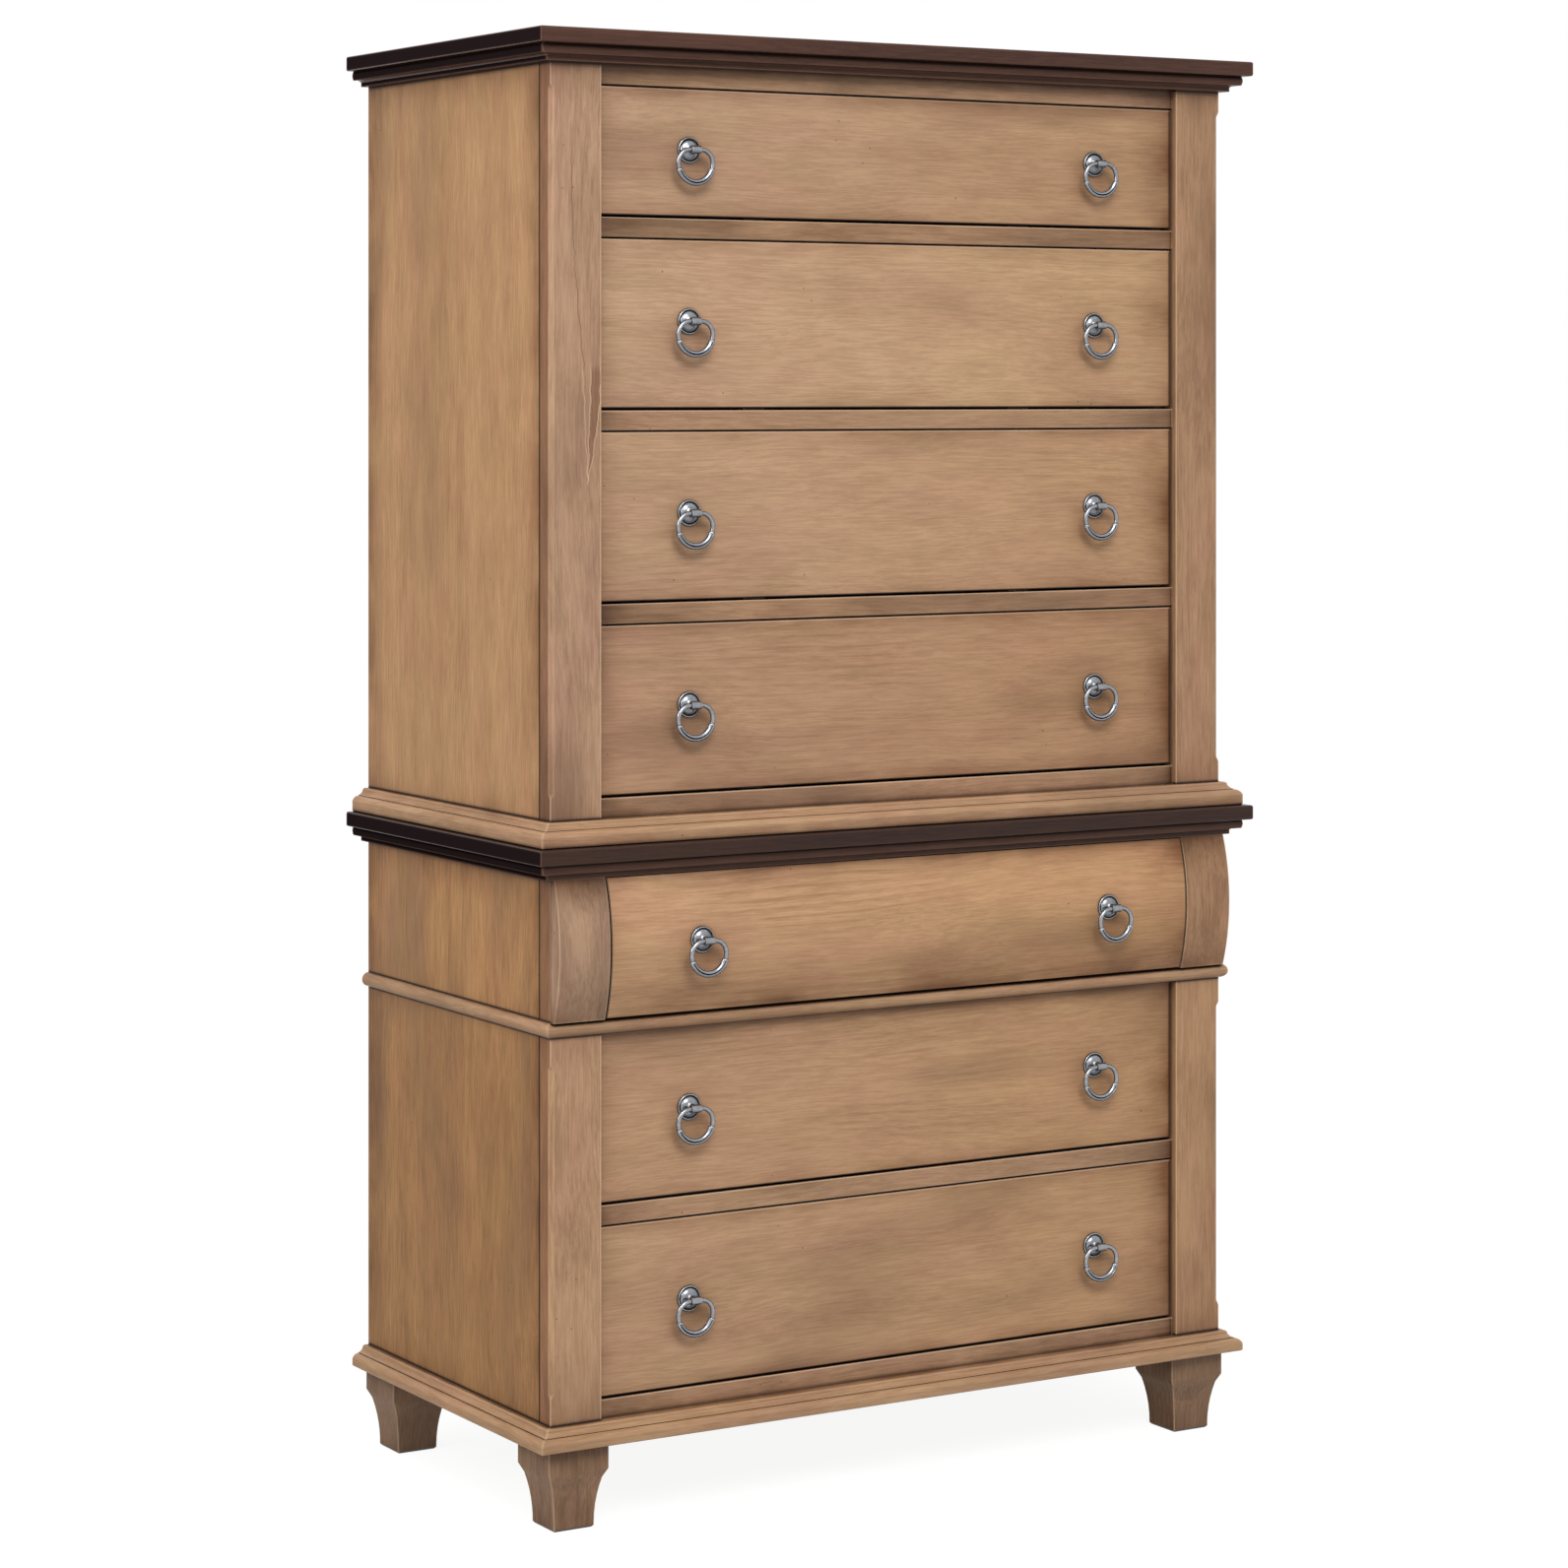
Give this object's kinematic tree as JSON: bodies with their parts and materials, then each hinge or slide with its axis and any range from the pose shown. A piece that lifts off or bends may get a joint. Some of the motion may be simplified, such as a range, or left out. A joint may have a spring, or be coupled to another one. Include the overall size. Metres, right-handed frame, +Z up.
{
  "type": "chest on chest",
  "caption": "Tall two-case chest of drawers with a bow-fronted drawer at its waist, ring pulls, moulded tops and tapered block feet.",
  "frame": {"origin": "on the floor, under the middle of the bounding box", "axes": "+Z up, -Y the front with the drawers, +X to the right of someone facing the front"},
  "size_m": [1.067, 0.5572, 1.8185],
  "materials": {
    "stained_wood": "warm tan-brown stain, satin lacquer, darker glaze in the corners",
    "dark_wood": "espresso stain, satin lacquer, edges slightly rubbed",
    "inner_wood": "planed, unfinished",
    "drawer_wood": "sanded, clear sealer",
    "back_board": "thin board, stained",
    "pewter": "antiqued satin pewter, dark in the recesses"
  },
  "bodies": {
    "case": {"upper_post_left": "stained_wood", "upper_post_right": "stained_wood", "upper_side_left": "stained_wood", "upper_side_right": "stained_wood", "upper_rails": "stained_wood", "upper_base_moulding": "stained_wood", "lower_post_left": "stained_wood", "lower_post_right": "stained_wood", "bow_blocks": "stained_wood", "lower_side_left": "stained_wood", "lower_side_right": "stained_wood", "lower_rails": "stained_wood", "waist_bead": "stained_wood", "base_moulding": "stained_wood", "feet": "stained_wood", "upper_top": "dark_wood", "crown_moulding": "dark_wood", "lower_top": "dark_wood", "lower_top_moulding": "dark_wood", "upper_floor": "inner_wood", "upper_runners": "inner_wood", "lower_floor": "inner_wood", "lower_runners": "inner_wood", "upper_back": "back_board", "lower_back": "back_board"},
    "drawer_1": {"drawer_1_front": "stained_wood", "drawer_1_box": "drawer_wood", "drawer_1_pulls": "pewter"},
    "ring_1_left": {"drawer_1_ring_left": "pewter"},
    "ring_1_right": {"drawer_1_ring_right": "pewter"},
    "drawer_2": {"drawer_2_front": "stained_wood", "drawer_2_box": "drawer_wood", "drawer_2_pulls": "pewter"},
    "ring_2_left": {"drawer_2_ring_left": "pewter"},
    "ring_2_right": {"drawer_2_ring_right": "pewter"},
    "drawer_3": {"drawer_3_front": "stained_wood", "drawer_3_box": "drawer_wood", "drawer_3_pulls": "pewter"},
    "ring_3_left": {"drawer_3_ring_left": "pewter"},
    "ring_3_right": {"drawer_3_ring_right": "pewter"},
    "drawer_4": {"drawer_4_front": "stained_wood", "drawer_4_box": "drawer_wood", "drawer_4_pulls": "pewter"},
    "ring_4_left": {"drawer_4_ring_left": "pewter"},
    "ring_4_right": {"drawer_4_ring_right": "pewter"},
    "drawer_5": {"drawer_5_front": "stained_wood", "drawer_5_box": "drawer_wood", "drawer_5_pulls": "pewter"},
    "ring_5_left": {"drawer_5_ring_left": "pewter"},
    "ring_5_right": {"drawer_5_ring_right": "pewter"},
    "drawer_6": {"drawer_6_front": "stained_wood", "drawer_6_box": "drawer_wood", "drawer_6_pulls": "pewter"},
    "ring_6_left": {"drawer_6_ring_left": "pewter"},
    "ring_6_right": {"drawer_6_ring_right": "pewter"},
    "drawer_7": {"drawer_7_front": "stained_wood", "drawer_7_box": "drawer_wood", "drawer_7_pulls": "pewter"},
    "ring_7_left": {"drawer_7_ring_left": "pewter"},
    "ring_7_right": {"drawer_7_ring_right": "pewter"}
  },
  "joints": [
    {"name": "drawer_1_slide", "type": "slide", "parent": "case", "child": "drawer_1", "axis": [0, -1, 0], "range_m": [0, 0.36]},
    {"name": "ring_1_left_swing", "type": "hinge", "parent": "drawer_1", "child": "ring_1_left", "pos_m": [-0.305, -0.24075, 1.678], "axis": [-1, 0, 0], "range_deg": [-15, 195]},
    {"name": "ring_1_right_swing", "type": "hinge", "parent": "drawer_1", "child": "ring_1_right", "pos_m": [0.305, -0.24075, 1.678], "axis": [-1, 0, 0], "range_deg": [-15, 195]},
    {"name": "drawer_2_slide", "type": "slide", "parent": "case", "child": "drawer_2", "axis": [0, -1, 0], "range_m": [0, 0.36]},
    {"name": "ring_2_left_swing", "type": "hinge", "parent": "drawer_2", "child": "ring_2_left", "pos_m": [-0.305, -0.24075, 1.467], "axis": [-1, 0, 0], "range_deg": [-15, 195]},
    {"name": "ring_2_right_swing", "type": "hinge", "parent": "drawer_2", "child": "ring_2_right", "pos_m": [0.305, -0.24075, 1.467], "axis": [-1, 0, 0], "range_deg": [-15, 195]},
    {"name": "drawer_3_slide", "type": "slide", "parent": "case", "child": "drawer_3", "axis": [0, -1, 0], "range_m": [0, 0.36]},
    {"name": "ring_3_left_swing", "type": "hinge", "parent": "drawer_3", "child": "ring_3_left", "pos_m": [-0.305, -0.24075, 1.231], "axis": [-1, 0, 0], "range_deg": [-15, 195]},
    {"name": "ring_3_right_swing", "type": "hinge", "parent": "drawer_3", "child": "ring_3_right", "pos_m": [0.305, -0.24075, 1.231], "axis": [-1, 0, 0], "range_deg": [-15, 195]},
    {"name": "drawer_4_slide", "type": "slide", "parent": "case", "child": "drawer_4", "axis": [0, -1, 0], "range_m": [0, 0.36]},
    {"name": "ring_4_left_swing", "type": "hinge", "parent": "drawer_4", "child": "ring_4_left", "pos_m": [-0.305, -0.24075, 0.995], "axis": [-1, 0, 0], "range_deg": [-15, 195]},
    {"name": "ring_4_right_swing", "type": "hinge", "parent": "drawer_4", "child": "ring_4_right", "pos_m": [0.305, -0.24075, 0.995], "axis": [-1, 0, 0], "range_deg": [-15, 195]},
    {"name": "drawer_5_slide", "type": "slide", "parent": "case", "child": "drawer_5", "axis": [0, -1, 0], "range_m": [0, 0.36]},
    {"name": "ring_5_left_swing", "type": "hinge", "parent": "drawer_5", "child": "ring_5_left", "pos_m": [-0.305, -0.27375, 0.7095], "axis": [-1, 0, 0], "range_deg": [-15, 195]},
    {"name": "ring_5_right_swing", "type": "hinge", "parent": "drawer_5", "child": "ring_5_right", "pos_m": [0.305, -0.27375, 0.7095], "axis": [-1, 0, 0], "range_deg": [-15, 195]},
    {"name": "drawer_6_slide", "type": "slide", "parent": "case", "child": "drawer_6", "axis": [0, -1, 0], "range_m": [0, 0.36]},
    {"name": "ring_6_left_swing", "type": "hinge", "parent": "drawer_6", "child": "ring_6_left", "pos_m": [-0.305, -0.24075, 0.4995], "axis": [-1, 0, 0], "range_deg": [-15, 195]},
    {"name": "ring_6_right_swing", "type": "hinge", "parent": "drawer_6", "child": "ring_6_right", "pos_m": [0.305, -0.24075, 0.4995], "axis": [-1, 0, 0], "range_deg": [-15, 195]},
    {"name": "drawer_7_slide", "type": "slide", "parent": "case", "child": "drawer_7", "axis": [0, -1, 0], "range_m": [0, 0.36]},
    {"name": "ring_7_left_swing", "type": "hinge", "parent": "drawer_7", "child": "ring_7_left", "pos_m": [-0.305, -0.24075, 0.2635], "axis": [-1, 0, 0], "range_deg": [-15, 195]},
    {"name": "ring_7_right_swing", "type": "hinge", "parent": "drawer_7", "child": "ring_7_right", "pos_m": [0.305, -0.24075, 0.2635], "axis": [-1, 0, 0], "range_deg": [-15, 195]}
  ]
}
